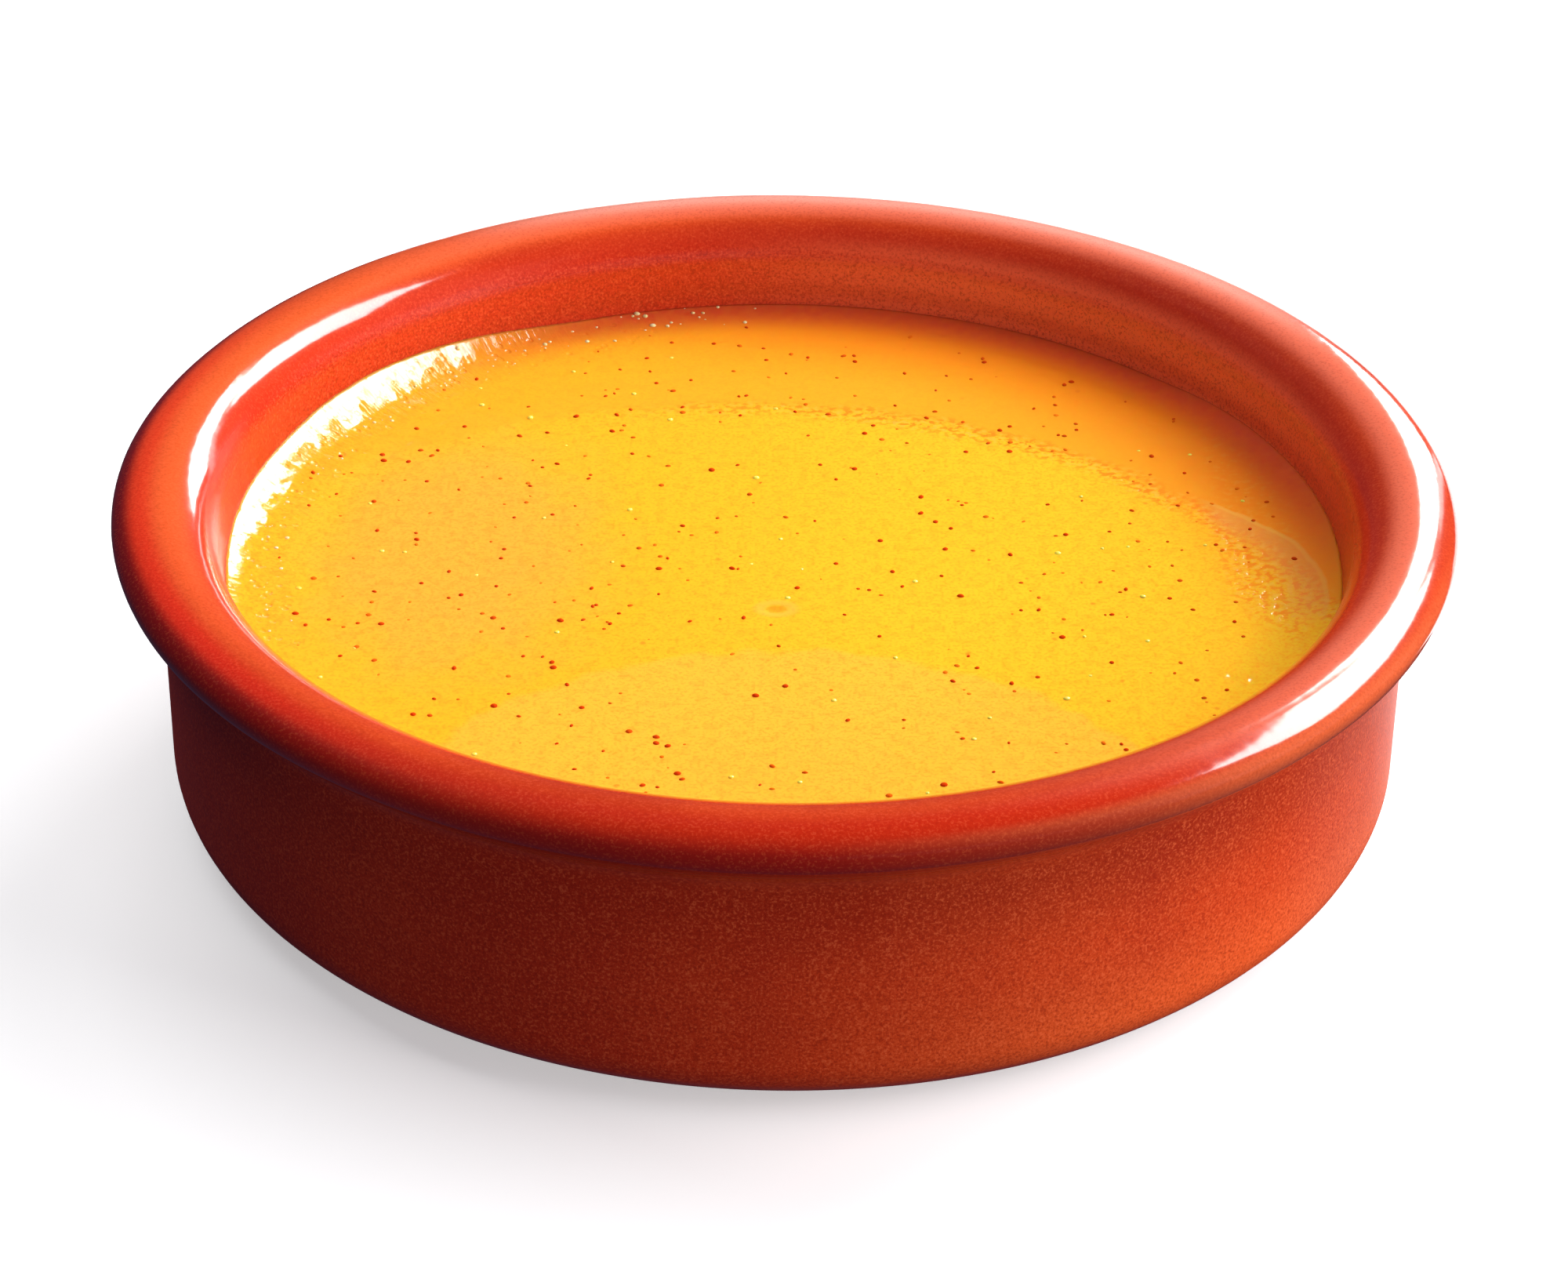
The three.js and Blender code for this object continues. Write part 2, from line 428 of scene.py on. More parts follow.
def volume(mesh):
    """Signed volume of a closed mesh: above zero if its faces point out."""
    mesh.calc_loop_triangles()
    corners = np.array([v.co for v in mesh.vertices])
    triangles = np.array([t.vertices for t in mesh.loop_triangles])
    a, b, c = (corners[triangles[:, i]] for i in range(3))
    return float(np.einsum("ij,ij->i", a, np.cross(b, c)).sum() / 6)


def face_out(piece):
    """Turns a piece's faces round if they point in, and says how big it is."""
    if volume(piece.data) < 0:
        piece.data.flip_normals()
    triangles = sum(len(p.vertices) - 2 for p in piece.data.polygons)
    print(piece.name, "triangles", triangles, "cm3", round(volume(piece.data) * 1e6, 1))
    return piece


def turned(name, points, around, material, waver=0.0, more=()):
    """A piece that the turning tree spins from an outline. More trees may follow it."""
    outline = outline_object(points)
    blank = link(bpy.data.objects.new("blank", bpy.data.meshes.new("blank")))
    spin = {
        "Outline": outline, "Points": len(points), "Around": around,
        "Waver": waver, "Waver Size": WAVER_SIZE, "Material": material,
    }
    piece = face_out(plain_mesh(name, blank, [(TURNING, spin), *more]))
    bpy.data.objects.remove(outline)
    return piece


# %% [markdown]
# ## The glaze
#
# The dish is orange-red clay under a clear glaze. Over the rim the glaze is thick and mirror smooth. Inside
# and outside it is thinner, so the clay's fine grain shows and the shine is wide and soft. One shader holds
# all of it: masks made from the height and the distance from the axis say which skin a point has. `facing`
# gives masks by compass direction, with 0 at +X and 90 at +Y. With them, painted shade lays darker reds on
# the front and left, and painted light and painted sheen lay paler tones on the rim's left and back and on
# the back right.


# %% Material: glazed terracotta
CLAY = (0.60, 0.053, 0.009)
CLAY_DEEP = (0.47, 0.033, 0.007)
# pale flecks in the clay, and also painted light low on the outer wall's right
CLAY_FLECK_AND_PAINTED_LIGHT = (0.74, 0.100, 0.018)
CLAY_SHADED = (0.20, 0.009, 0.003)
INSIDE_DEEP = (0.56, 0.029, 0.009)
# painted light and painted sheen for the inner wall's right and back
INSIDE_PAINTED_SHEEN = (0.96, 0.175, 0.070)
# painted light: a paler orange for the left and back of the rim's crest
RIM_PAINTED_LIGHT = (0.82, 0.115, 0.024)
# painted shade: a deeper red for the front of the rim's crest and the front left of the outer wall
PAINTED_SHADE_RED = (0.51, 0.021, 0.004)
# painted light: a brighter red for the left of the rim's crest
RIM_PAINTED_LIGHT_RED = (0.92, 0.020, 0.005)
# painted shade: the rim's outer edge on the left, and under the crest at the front
RIM_PAINTED_SHADE = (0.25, 0.005, 0.003)
RIM_BROWN = (0.60, 0.110, 0.035)
# painted sheen: a pale veil on top of the rim at the back right
RIM_PAINTED_SHEEN = (0.78, 0.150, 0.078)
# painted sheen: a pale pink band along the outer top of the rim at the back
RIM_PAINTED_GRAZING_SHEEN = (0.92, 0.370, 0.280)
# painted sheen: a pale veil on the outer wall's right side
SIDE_PAINTED_SHEEN = (0.42, 0.130, 0.090)
GRIT_PALE = (0.95, 0.180, 0.060)
GRIT_DARK = (0.26, 0.012, 0.003)
THICK_ROUGH = 0.11
SATIN_ROUGH = 0.29
INNER_ROUGH = 0.16
DULL_ROUGH = 0.36


def material_net(name):
    """A new empty material and its node tree."""
    material = bpy.data.materials.new(name)
    material.use_nodes = True
    material.node_tree.nodes.clear()
    return material, Net(material.node_tree)


def end_material(net, sockets):
    """Adds the surface's shader with its sockets, and joins it to the material's output."""
    shader = net.add("ShaderNodeBsdfPrincipled", {}, sockets)
    net.add("ShaderNodeOutputMaterial", {}, {"Surface": shader})


def glazed_terracotta():
    """Orange-red clay, glossy on the rim, satin outside."""
    material, net = material_net("glazed_terracotta")
    place = net.add("ShaderNodeTexCoord").output("Object")
    flat, height = net.across(place)
    radius = net.length(flat)
    compass = net.unit(flat)

    def facing(azimuth, low, high):
        """How much a place lies toward an azimuth: 0 below the cosine low, and 1 above high."""
        angle = math.radians(azimuth)
        return net.dot(compass, (math.cos(angle), math.sin(angle), 0.0)).step(low, high)

    def beyond(low, high):
        """0 within a radius of low millimetres, and 1 beyond high."""
        return radius.step(low * MM, high * MM)

    outside = radius.step(WALL_RADIUS - 1.5 * MM, WALL_RADIUS - 0.6 * MM)
    outside = outside * (1 - height.step(COVE_HEIGHT, COVE_HEIGHT + 4 * MM))
    satin = net.math("MAXIMUM", outside, 1 - height.step(0.0, FOOT_HEIGHT))
    inside = 1 - radius.step(INSIDE_RADIUS, INSIDE_RADIUS + 3 * MM)
    inner = inside * (1 - height.step(HEIGHT - 4 * MM, HEIGHT - 2 * MM))
    dull = inside * (1 - height.step(HEIGHT - 2.6 * MM, HEIGHT - 1.7 * MM)) * facing(187, 0.90, 0.98)

    cloud = net.noise(place, 26 * MM, detail=3.0)
    fleck = net.noise(place, 1.1 * MM)
    grain = net.noise(place, 0.26 * MM, rough=0.7)
    by_height = {"W": height, "Scale": 1.0 / (1.6 * MM), "Detail": 1.0}
    rings = net.add("ShaderNodeTexNoise", {"noise_dimensions": "1D"}, by_height)

    below_bend = 1 - height.step(HEIGHT - 3.4 * MM, HEIGHT - 1.4 * MM)
    # the inner wall turns paler towards its right and back: painted light and painted sheen
    within = net.blend(facing(48, 0.58, 1.05) * below_bend, INSIDE_DEEP, INSIDE_PAINTED_SHEEN)
    rim = height.step(COVE_HEIGHT + 2 * MM, COVE_HEIGHT + 5 * MM) * (1 - inner)
    crest = rim * beyond(52.4, 54.4)
    above = height.step(HEIGHT - 1.9 * MM, HEIGHT - 1.2 * MM)
    middle = radius.hump(53.0 * MM, 54.9 * MM, 56.5 * MM, 58.5 * MM)
    below_crest = rim * beyond(57.5, 58.5) * (1 - height.step(HEIGHT - 1.7 * MM, HEIGHT - 0.4 * MM))
    under_rim = height.hump(13 * MM, 22 * MM, COVE_HEIGHT, COVE_HEIGHT + 2 * MM)
    painted_light_low_right = outside * (1 - height.step(4 * MM, 14 * MM)) * facing(330, 0.5, 0.9)
    colour = net.layered(net.blend(cloud.step(0.35, 0.68), CLAY_DEEP, CLAY), [
        (fleck.step(0.45, 0.8) * 0.15, CLAY_FLECK_AND_PAINTED_LIGHT),
        # the inner wall, with painted light and painted sheen on its right and back
        (inside * 0.85, within),
        ((1 - rings.step(0.36, 0.56)) * inner * 0.25, CLAY_DEEP),
        # the rim, from the crest outwards: painted light on the crest's left and back, painted shade on its
        # front, painted sheen on top at the back, and painted shade on the outer edge at the left and under
        # the front crest
        (crest * facing(145, 0.0, 0.9) * 0.78, RIM_PAINTED_LIGHT),
        (crest * facing(252, 0.15, 0.9) * beyond(55.4, 57.6), PAINTED_SHADE_RED),
        (crest * facing(190, 0.6, 1.0) * beyond(55.6, 57.4) * 0.55, RIM_PAINTED_LIGHT_RED),
        (above * facing(34, -0.35, 0.5) * middle, RIM_PAINTED_SHEEN),
        (above * facing(75, 0.6, 0.9) * beyond(54.4, 56.9) * 0.88, RIM_PAINTED_GRAZING_SHEEN),
        (rim * facing(192, 0.45, 1.0) * beyond(57.8, 59.1), RIM_PAINTED_SHADE),
        (rim * facing(312, 0.75, 0.97) * beyond(58.6, 59.6) * 0.8, RIM_BROWN),
        (below_crest * facing(272, 0.75, 0.97) * 0.75, RIM_PAINTED_SHADE),
        # the outer wall: painted shade under the rim and on the front left, painted light low on the right,
        # and painted sheen on the right
        (outside * under_rim * 0.5, CLAY_SHADED),
        (painted_light_low_right * 0.8, CLAY_FLECK_AND_PAINTED_LIGHT),
        (outside * facing(345, 0.88, 0.99) * 0.3, SIDE_PAINTED_SHEEN),
        (outside * facing(215, 0.2, 0.9) * 0.5, PAINTED_SHADE_RED),
        # the clay's grit, which shows most where the glaze is thin
        (grain.step(0.50, 0.68) * (0.16 + inner * 0.12 + satin * 0.20), GRIT_PALE),
        ((1 - grain.step(0.34, 0.50)) * (0.22 + inner * 0.30 + satin * 0.28), GRIT_DARK),
    ])

    thin = net.math("MAXIMUM", inner * INNER_ROUGH, dull * DULL_ROUGH)
    uncoated = net.math("MAXIMUM", satin, net.math("MAXIMUM", inner, dull) * 0.9)
    relief = grain * satin * 0.030 + rings * 0.05 + net.noise(place, 4 * MM) * 0.10
    end_material(net, {
        "Base Color": colour,
        "Roughness": THICK_ROUGH + satin * SATIN_ROUGH + thin + fleck * 0.03 + grain * satin * 0.06,
        "Normal": net.bump(relief, strength=0.6, distance=1 * MM),
        "IOR": 1.5,
        "Coat Weight": (1.0 - uncoated) * 0.6,
        "Coat Roughness": 0.08,
        "Coat IOR": 1.5,
    })
    return material


GLAZE = glazed_terracotta()
print("material", GLAZE.name, "nodes", len(GLAZE.node_tree.nodes))

# %% [markdown]
# The dish goes round in 256 steps, which is enough for a smooth rim. Its skin wavers by up to 0.16 mm. It
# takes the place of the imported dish.

# %% Make the dish
DISH_AROUND = 256
dish = turned("dish_glazed", dish_outline(), DISH_AROUND, GLAZE, waver=0.16 * MM)
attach(dish, "root")
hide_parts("dish")

# %% [markdown]
# ## The custard's skin
#
# Custard sets from the edge in. It clings to the wall, so its edge climbs, most of all at the left, where it
# is steep enough to catch the window's light. Its skin is not flat: long low swells, a band of fine ripples
# near the wall, small pits where bubbles burst, and one dent. All of it is real relief in the mesh, because a
# bump alone would leave the outline of a highlight too straight. The relief is a second Geometry Nodes tree
# that lifts only the top.


# %% The relief tree
def on_top(height, level):
    """1 down to 0.8 mm under the custard's level, and 0 from 1.2 mm under it."""
    return height.step(level - 1.2 * MM, level - 0.8 * MM)


def relief_tree():
    """Lifts the top of the custard: its climbing edge, swells, ripples, pits and one dent."""
    net, given = geometry_tree("custard_relief", {
        "Geometry": ["Geometry"],
        "Float": ["Top", "Wall", "Left Climb", "Right Climb", "Climb Reach", "Lip Slope", "Lip Reach",
                  "Steeper", "Swell", "Ripple", "Teeth", "Pit", "Dent"],
        "Vector": ["Left Way", "Right Way", "Steep Way", "Dent Place"],
        "Material": ["Material"],
    })
    flat, height = net.across(net.add("GeometryNodeInputPosition"))
    radius = net.length(flat)
    compass = net.unit(flat)
    left = net.dot(compass, given["Left Way"])
    right = net.dot(compass, given["Right Way"])
    top = on_top(height, given["Top"])

    uneven = 0.9 + net.noise(flat, 4 * MM) * 0.2
    lean = left.step(0.74, 1.04) * uneven
    climb = given["Left Climb"] * lean + given["Right Climb"] * right.step(0.88, 1.0)
    ramp = net.math("MAXIMUM", (radius - given["Wall"]) / given["Climb Reach"] + 1, 0.0)
    lip = net.math("MAXIMUM", radius - given["Wall"] + given["Lip Reach"] * (0.15 + lean * 0.85), 0.0)
    steeper = 1 + net.dot(compass, given["Steep Way"]).step(0.9, 1.0) * given["Steeper"]
    climb = (climb * ramp**1.2 + lip * given["Lip Slope"] * left.step(0.55, 0.85) * steeper) * top

    middle = 1 - radius.step(36 * MM, 46 * MM)
    swell = (net.noise(flat, 34 * MM, detail=1.0) - 0.5) * middle * given["Swell"]
    band = radius.hump(27 * MM, 38 * MM, 47 * MM, 49.5 * MM)
    ripple = (net.noise(flat * (0.6, 1.5, 1.0), 2.6 * MM) - 0.5) * band * given["Ripple"]
    teeth = (net.noise(flat, 1.3 * MM) - 0.5) * left.step(0.5, 0.9) * given["Teeth"]
    teeth = teeth * radius.step(42 * MM, 45 * MM) * (1 - radius.step(48.5 * MM, 50 * MM))
    patch = net.noise(flat, 11 * MM, detail=1.0).step(0.45, 0.6)
    spots = net.cells(flat, 2.2 * MM).step(0.05, 0.26)
    pit = (spots - 1) * patch * radius.step(33 * MM, 41 * MM) * given["Pit"]
    dent = net.length((flat - given["Dent Place"]) * (0.6, 1.0, 1.0))
    dent = (dent.step(0.2 * MM, 1.2 * MM) - 1) * given["Dent"]

    lift = (swell + ripple + teeth + pit + dent) * top + climb
    offset = net.vector(Z=lift) + compass * (climb * INNER_LEAN)
    lifted = net.add("GeometryNodeSetPosition", {}, {"Geometry": given["Geometry"], "Offset": offset})
    return end_tree(net, lifted, given["Material"])


RELIEF = relief_tree()
print("relief tree:", len(RELIEF.nodes), "nodes")

# %% [markdown]
# ## The look of custard
#
# Egg and cream scatter light inside, so a custard glows a little and its pits never go dark. That is
# subsurface scattering: a weight, and how far each colour travels, red furthest. The skin has a fine gloss of
# its own, and a clear coat lies only on the torn wet edge at the left. The yolk's yellow is nearly pure, with
# almost no blue in it. Seeds that lie just under the skin show as soft orange dots, which are too deep to be
# relief, so they are drawn in the colour.


# %% Material: vanilla custard
YOLK = (0.97, 0.495, 0.0185)
# painted light: a brighter yellow for the right side of the custard
YOLK_PAINTED_LIGHT = (0.98, 0.560, 0.0210)
YOLK_PALE = (0.91, 0.440, 0.045)
# painted reflection: a paler, whiter yellow over the front of the skin
YOLK_PAINTED_REFLECTION = (0.96, 0.515, 0.054)
# painted shadow: a deeper orange for the skin beyond the fold line at the back
YOLK_PAINTED_SHADOW = (0.97, 0.385, 0.018)
# a deeper orange for the skin's mottle, and also painted shade along the back edge, in the dent and in the
# wrinkles' grooves
YOLK_MOTTLE_AND_SHADE = (0.95, 0.210, 0.010)
# a pale cream for the bubbles, and also painted highlights on the dent's rim, the wrinkles' crests and the
# film's border
YOLK_CREAM_AND_HIGHLIGHT = (0.97, 0.50, 0.070)
# painted shade and a painted reflection of the red wall along the custard's back and right edge
EDGE_PAINTED_SHADE = (0.76, 0.095, 0.026)
SKIN_FILM = (0.86, 0.36, 0.075)
SEED_TINT = (0.86, 0.20, 0.012)
# the fold line in the skin, which is also the edge of a painted shadow
FOLD_AND_SHADOW_CENTRE = (-4 * MM, -26 * MM, 0.0)
FOLD_AND_SHADOW_RADIUS = 55.5 * MM
FRONT_REFLECTION_CENTRE = (0.5 * MM, -52 * MM, 0.0)
FRONT_REFLECTION_RADIUS = 36.5 * MM
LEFT_SKIN_CENTRE = (-30 * MM, 1 * MM, 0.0)
RIGHT_FILM_CENTRE = (28.4 * MM, -5.3 * MM, 0.0)
RIGHT_FILM_RADIUS = 20.1 * MM
LEFT_WAY = (-0.91, 0.42, 0.0)
BACK_WAY = (0.64, 0.77, 0.0)
EDGE_SHADE_WAY = (0.42, 0.91, 0.0)
DENT_PLACE = (-0.7 * MM, -8.5 * MM, 0.0)


def vanilla_custard():
    """Set cream: yellow and glowing, glossy all over and wet along its left edge."""
    material, net = material_net("vanilla_custard")
    x = net.split(net.add("ShaderNodeTexCoord").output("Object"))
    y = x.output("Y")
    flat = net.vector(X=x, Y=y)
    radius = net.length(flat)
    compass = net.unit(flat)
    wander = net.noise(flat, 5 * MM) - 0.5
    fine = net.noise(flat, 0.34 * MM)
    cloud = net.noise(flat, 1.1 * MM)

    fold_and_shadow_line = net.length(flat - FOLD_AND_SHADOW_CENTRE) - FOLD_AND_SHADOW_RADIUS + wander * (3 * MM)
    painted_shadow = fold_and_shadow_line.step(-0.6 * MM, 1.2 * MM)
    front_reflection = net.length(flat - FRONT_REFLECTION_CENTRE) - FRONT_REFLECTION_RADIUS + wander * (4 * MM)
    left_skin = net.length((flat - LEFT_SKIN_CENTRE) * (1.6, 1.0, 1.0)) + wander * (14 * MM)
    back_edge_shade = radius.step(33 * MM, 51 * MM) * net.dot(compass, BACK_WAY).step(0.38, 0.92)
    contact = radius.step(45.2 * MM, 50.0 * MM) * net.dot(compass, EDGE_SHADE_WAY).step(0.22, 0.82)
    sunk_seeds = (1 - net.cells(flat, 3.4 * MM).step(0.04, 0.11)) * net.noise(flat, 5 * MM).step(0.5, 0.6)
    dimple = net.length((flat - DENT_PLACE) * (0.75, 1.0, 1.0))
    dimple_highlight = dimple.hump(0.5 * MM, 1.0 * MM, 1.1 * MM, 1.8 * MM)

    near_fold = fold_and_shadow_line.hump(-2.5 * MM, -0.3 * MM, 0.3 * MM, 2.0 * MM) * x.step(-28 * MM, 5 * MM)
    ahead = net.math("MINIMUM", y + 4 * MM, 0.0)
    right_side = (x + ahead * 0.5 + wander * (5 * MM)).step(37.5 * MM, 41.5 * MM)
    right_side = right_side * (1 - radius.step(46 * MM, 49 * MM)) * (1 - painted_shadow * 0.6)
    wrinkled = net.math("MINIMUM", near_fold + right_side * 0.8, 1.0)
    wrinkle = net.noise(flat * (0.8, 1.0, 1.0), 0.62 * MM)
    film_edge = net.length(flat - RIGHT_FILM_CENTRE) - RIGHT_FILM_RADIUS + wander * (1.6 * MM)
    film_part = x.step(38 * MM, 41 * MM) * y.step(-12 * MM, -5 * MM)
    film_highlight_line = film_edge.hump(-0.45 * MM, -0.10 * MM, 0.0, 0.35 * MM) * film_part
    film = film_edge.hump(-4.5 * MM, -1.5 * MM, 0.0, 0.35 * MM) * film_part
    # the custard turns a brighter yellow towards the right: painted light
    colour = net.layered(net.blend(x.step(-25 * MM, 30 * MM), YOLK, YOLK_PAINTED_LIGHT), [
        # the skin's broad fields and its mottle, with a painted reflection over the front, a painted shadow
        # beyond the fold and painted shade along the back edge
        ((1 - left_skin.step(9 * MM, 30 * MM)) * 0.9, YOLK_PALE),
        ((1 - front_reflection.step(-0.9 * MM, 0.3 * MM)) * 0.6, YOLK_PAINTED_REFLECTION),
        ((1 - fine.step(0.34, 0.54)) * 0.30, YOLK_MOTTLE_AND_SHADE),
        ((1 - cloud.step(0.32, 0.56)) * 0.20, YOLK_MOTTLE_AND_SHADE),
        (painted_shadow * (0.7 + x * 6), YOLK_PAINTED_SHADOW),
        (back_edge_shade, YOLK_MOTTLE_AND_SHADE),
        # marks in the skin: seeds under it, a painted highlight round the dent and painted shade in it,
        # and painted highlights on the wrinkles' crests and painted shade in their grooves
        (sunk_seeds * 0.6, SEED_TINT),
        (dimple_highlight * 0.5, YOLK_CREAM_AND_HIGHLIGHT),
        ((1 - dimple.step(0.4 * MM, 0.8 * MM)) * 0.45, YOLK_MOTTLE_AND_SHADE),
        (wrinkle.step(0.54, 0.64) * wrinkled * 0.5, YOLK_CREAM_AND_HIGHLIGHT),
        ((1 - wrinkle.step(0.40, 0.50)) * wrinkled * 0.75, YOLK_MOTTLE_AND_SHADE),
        # a film at the right edge, with a painted highlight along its border, and painted shade and a painted
        # reflection of the red wall along the back and right edge
        (film * (0.3 + cloud * 0.4), SKIN_FILM),
        (film_highlight_line * 0.45, YOLK_CREAM_AND_HIGHLIGHT),
        (contact * (0.75 + cloud * 0.5), EDGE_PAINTED_SHADE),
    ])

    band = net.dot(compass, LEFT_WAY).step(0.5, 0.85) * radius.step(43 * MM, 46 * MM)
    teeth = net.noise(compass * (48 * MM) + flat * 0.3, 0.6 * MM) * band
    holes = (1 - net.cells(flat, 1.3 * MM).step(0.10, 0.30)) * band
    torn = net.noise(flat, 0.7 * MM)
    creases = wrinkle.step(0.38, 0.62) * wrinkled
    relief = fine * 0.008 + net.noise(flat, 1.6 * MM) * 0.01 + creases * 0.042 + film * 0.05
    relief = relief + teeth * 0.07 + torn * band * 0.05 - holes * 0.12
    end_material(net, {
        "Base Color": colour,
        "Roughness": 0.06 + fine * 0.04,
        "Normal": net.bump(relief, strength=0.6, distance=1 * MM),
        "IOR": 1.45,
        "Subsurface Weight": 0.45,
        "Subsurface Radius": (1.0, 0.35, 0.10),
        "Subsurface Scale": 1.6 * MM,
        "Coat Weight": band * (0.25 + torn.step(0.36, 0.44) * 0.75),
        "Coat Roughness": 0.04,
    })
    return material


CUSTARD = vanilla_custard()
print("material", CUSTARD.name, "nodes", len(CUSTARD.node_tree.nodes))

# %% [markdown]
# The custard is turned the same way, but in finer steps, because the relief needs small faces near the wall.
# How high and how deep the relief goes is said by the inputs of its tree.

# %% Make the custard
CUSTARD_AROUND = 620
RIGHT_WAY = (0.95, 0.31, 0.0)
STEEP_WAY = (-0.71, 0.70, 0.0)
skin_relief = {
    "Top": LEVEL, "Wall": inner_wall(LEVEL),
    "Left Climb": 0.9 * MM, "Left Way": LEFT_WAY,
    "Right Climb": 0.7 * MM, "Right Way": RIGHT_WAY, "Climb Reach": 8 * MM,
    "Lip Slope": 0.14, "Lip Reach": 3.2 * MM, "Steep Way": STEEP_WAY, "Steeper": 1.4,
    "Swell": 0.5 * MM, "Ripple": 0.05 * MM, "Teeth": 0.13 * MM, "Pit": 0.12 * MM,
    "Dent": 0.12 * MM, "Dent Place": DENT_PLACE, "Material": CUSTARD,
}
custard = turned("custard_set", custard_outline(), CUSTARD_AROUND, CUSTARD, more=[(RELIEF, skin_relief)])
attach(custard, "root")
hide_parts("custard")

# %% [markdown]
# ## Seeds and bubbles
#
# A vanilla pod leaves hundreds of tiny seeds in the cream. They lie where they settled, some in twos and
# threes, so they are dealt out at random over the skin and not in a grid. Each is one small bean with few
# faces, turned and sized by chance, and sunk to a chance depth. Its depth is kept as an attribute, because a
# deep seed looks paler through the cream. The same tree deals foam bubbles along the edge at the back left,
# finer beads along its wet left part, and a few drops of yolk over all of the skin. They are rounder than
# seeds, and sink less.


# %% The scattering tree
INNER_FADE = 2 * MM
OUTER_FADE = 1 * MM
SIDE_FADE = 0.2


def scatter_tree():
    """Deals small round bodies over a skin, between two radii and on the side that faces a direction."""
    net, given = geometry_tree("scatter_on_skin", {
        "Geometry": ["Geometry"],
        "Float": ["Level", "Per Square Metre", "Nearest", "Farthest", "Facing Limit", "Smallest", "Largest",
                  "Narrowest", "Flatness", "Sink"],
        "Vector": ["Facing"],
        "Int": ["Seed"],
        "Material": ["Material"],
    })
    flat, height = net.across(net.add("GeometryNodeInputPosition"))
    radius = net.length(flat)
    facing = net.dot(net.unit(flat), given["Facing"])
    nearest = given["Nearest"]
    farthest = given["Farthest"]
    chance = radius.hump(nearest, nearest + INNER_FADE, farthest - OUTER_FADE, farthest)
    chance = chance * facing.step(given["Facing Limit"], given["Facing Limit"] + SIDE_FADE)
    chance = chance * on_top(height, given["Level"])
    points = net.add(
        "GeometryNodeDistributePointsOnFaces", {"distribute_method": "RANDOM"},
        {"Mesh": given["Geometry"], "Density": given["Per Square Metre"] * chance, "Seed": given["Seed"]},
    )
    bean = net.add("GeometryNodeMeshUVSphere", {}, {"Segments": 8, "Rings": 5, "Radius": 1.0})

    def chosen(low, high, shift):
        """A random number for each point. Each shift of the seed gives other numbers."""
        return net.add("FunctionNodeRandomValue", {"data_type": "FLOAT"},
                       {2: low, 3: high, "Seed": given["Seed"] + shift}, out=1)

    share = chosen(0.0, 1.0, shift=1)
    length = given["Smallest"] + (given["Largest"] - given["Smallest"]) * share**1.8
    width = length * chosen(given["Narrowest"], 1.0, shift=2)
    scale = net.vector(X=length, Y=width, Z=length * given["Flatness"])
    depth = chosen(0.0, 1.0, shift=3)
    turn = net.vector(Z=chosen(0.0, math.tau, shift=4))
    drop = net.vector(Z=depth * given["Sink"] * -1.0)
    sunk = net.add("GeometryNodeSetPosition", {}, {"Geometry": points, "Offset": drop})
    named = net.add("GeometryNodeStoreNamedAttribute", {"data_type": "FLOAT", "domain": "POINT"},
                    {"Geometry": sunk, "Name": "depth", "Value": depth})
    beans = net.add("GeometryNodeInstanceOnPoints", {},
                    {"Points": named, "Instance": bean, "Rotation": turn, "Scale": scale})
    real = net.add("GeometryNodeRealizeInstances", {}, {"Geometry": beans})
    smooth = net.add("GeometryNodeSetShadeSmooth", {}, {0: real})
    return end_tree(net, smooth, given["Material"])


SCATTER = scatter_tree()
print("scattering tree:", len(SCATTER.nodes), "nodes")

# %% [markdown]
# A seed is a rust-red bean. Under a film of cream it turns orange, so its colour follows the depth that the
# tree stored. A bubble is a drop of cream with a wetter skin. The bubbles at the edge are tinted as foam,
# paler than the cream and in part a painted highlight, and the specks are tinted as yolk.


# %% Materials: seeds and bubbles
SEED_RUST = (0.62, 0.050, 0.004)
SEED_FILMED = (0.88, 0.19, 0.008)
# a pale foam tint, which also stands in for the bubbles' highlights: partly a painted highlight
FOAM_AND_HIGHLIGHT = (0.98, 0.80, 0.38)
YOLK_DROP = (1.0, 0.90, 0.10)


def vanilla_seed():
    """Rust-red bean, orange where the cream covers it."""
    material, net = material_net("vanilla_seed")
    depth = net.add("ShaderNodeAttribute", {"attribute_name": "depth"}, out="Fac")
    mottle = net.noise(net.add("ShaderNodeTexCoord").output("Object"), 0.15 * MM)
    end_material(net, {
        "Base Color": net.blend(depth.step(0.25, 1.0), SEED_RUST, SEED_FILMED),
        "Roughness": 0.35 + mottle * 0.2,
        "Normal": net.bump(mottle, strength=0.4, distance=0.05 * MM),
        "Specular IOR Level": 0.0,
        "Subsurface Weight": 0.2,
        "Subsurface Radius": (1.0, 0.4, 0.1),
        "Subsurface Scale": 0.3 * MM,
    })
    return material


def cream_bubble(name, tint):
    """A drop of cream with a wet skin."""
    material, net = material_net(name)
    mottle = net.noise(net.add("ShaderNodeTexCoord").output("Object"), 0.3 * MM)
    end_material(net, {
        "Base Color": net.blend(mottle.step(0.2, 0.5), YOLK_CREAM_AND_HIGHLIGHT, tint),
        "Roughness": 0.15 + mottle * 0.06,
        "Normal": net.bump(mottle, strength=0.2, distance=0.05 * MM),
        "Subsurface Weight": 0.3,
        "Subsurface Radius": (1.0, 0.55, 0.12),
        "Subsurface Scale": 1 * MM,
        "Coat Weight": 0.3,
    })
    return material


SEED = vanilla_seed()
BUBBLE = cream_bubble("cream_bubble", FOAM_AND_HIGHLIGHT)
DROP = cream_bubble("yolk_drop", YOLK_DROP)
print("materials:", [m.name for m in (SEED, BUBBLE, DROP)])

# %% [markdown]
# Each kind is one piece with a plan of its own: how many lie on a square metre, where they lie, how big they
# are, and the seed of their random numbers.

